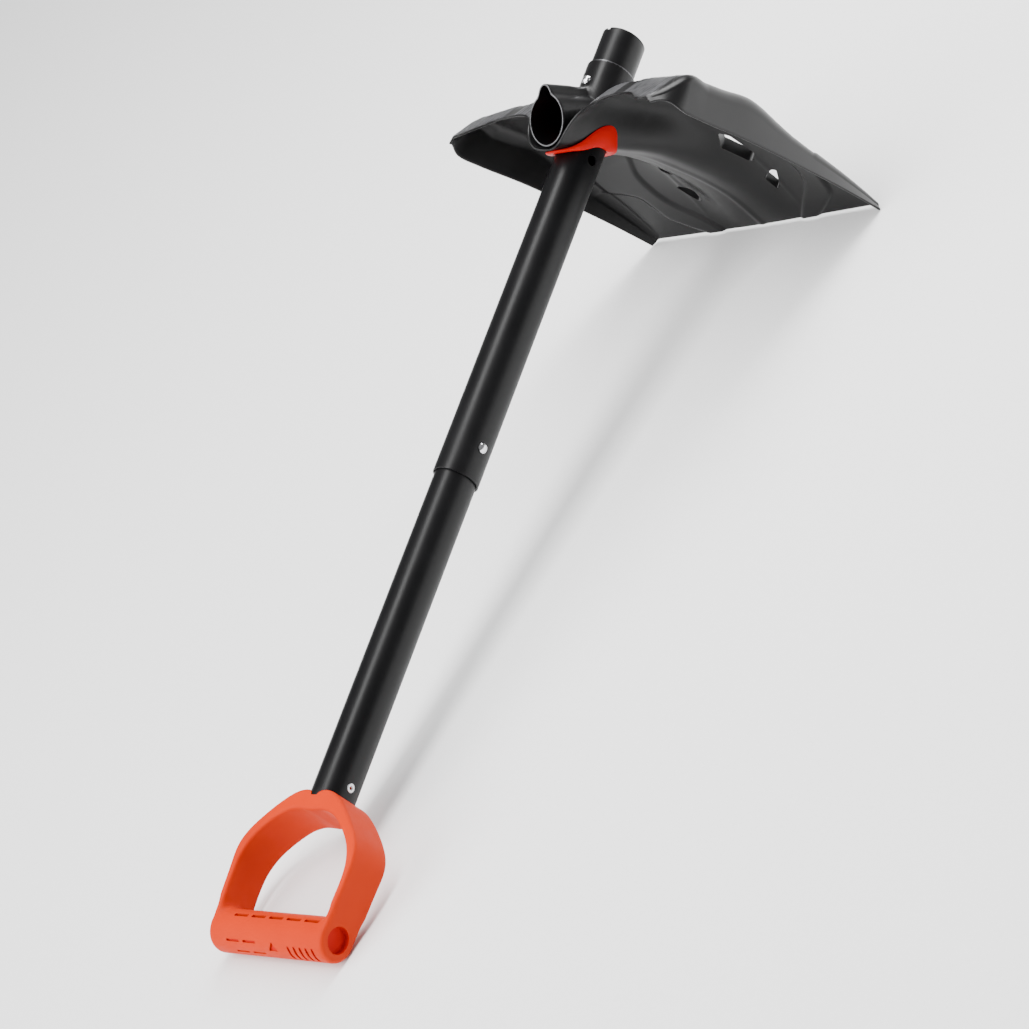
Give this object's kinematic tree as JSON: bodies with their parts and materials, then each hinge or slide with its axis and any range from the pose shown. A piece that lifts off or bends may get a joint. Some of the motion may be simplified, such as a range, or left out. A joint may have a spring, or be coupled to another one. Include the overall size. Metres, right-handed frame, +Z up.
{
  "type": "avalanche shovel",
  "caption": "Avalanche shovel set up as a hoe: ribbed sheet blade on a two-tube telescopic oval shaft with spring-button locks and a closed D-shaped hand grip.",
  "frame": {"origin": "on the floor, under the middle of the tool as it lies on its cutting edge and its grip bar", "axes": "+X runs from the grip to the blade, +Z is up, +Y is the left side seen from the grip"},
  "size_m": [0.752, 0.2394, 0.2387],
  "materials": {
    "blade_sheet": "black anodised sheet, satin, with bright scuffs on the treads",
    "socket": "black anodised, satin, with bare cut edges",
    "ring": "glossy red moulding",
    "tube": "black anodised tube with fine drawing lines",
    "guide": "matt nylon",
    "grip": "orange moulding, fine grain",
    "rivet": "plain steel",
    "button": "polished steel",
    "spring": "spring steel"
  },
  "bodies": {
    "upper_shaft": {"upper_tube": "tube", "blade_lock_spring": "spring"},
    "blade": {"blade_pan": "blade_sheet", "socket_tube": "socket", "hoe_ring": "ring"},
    "lower_shaft": {"lower_tube": "tube", "tube_guide": "guide", "grip": "grip", "grip_rivets": "rivet", "telescope_lock_spring": "spring"},
    "blade_button": {"blade_lock_button": "button"},
    "telescope_button": {"telescope_lock_button": "button"}
  },
  "joints": [
    {"name": "blade_slide", "type": "slide", "parent": "upper_shaft", "child": "blade", "axis": [0.9667, 0, 0.256], "range_m": [0, 0.13], "deforming": ["blade_lock_button", "blade_lock_spring"]},
    {"name": "telescope_slide", "type": "slide", "parent": "upper_shaft", "child": "lower_shaft", "axis": [0.9667, 0, 0.256], "range_m": [0, 0.2495], "deforming": ["telescope_lock_button", "telescope_lock_spring"]},
    {"name": "blade_button_press", "type": "slide", "parent": "upper_shaft", "child": "blade_button", "axis": [0.256, 0, -0.9667], "range_m": [0, 0.0052], "stiffness_N_per_m": 1500, "deforming": ["blade_lock_spring"]},
    {"name": "telescope_button_press", "type": "slide", "parent": "lower_shaft", "child": "telescope_button", "axis": [0, 1, 0], "range_m": [0, 0.0046], "stiffness_N_per_m": 1500, "deforming": ["telescope_lock_spring"]}
  ]
}
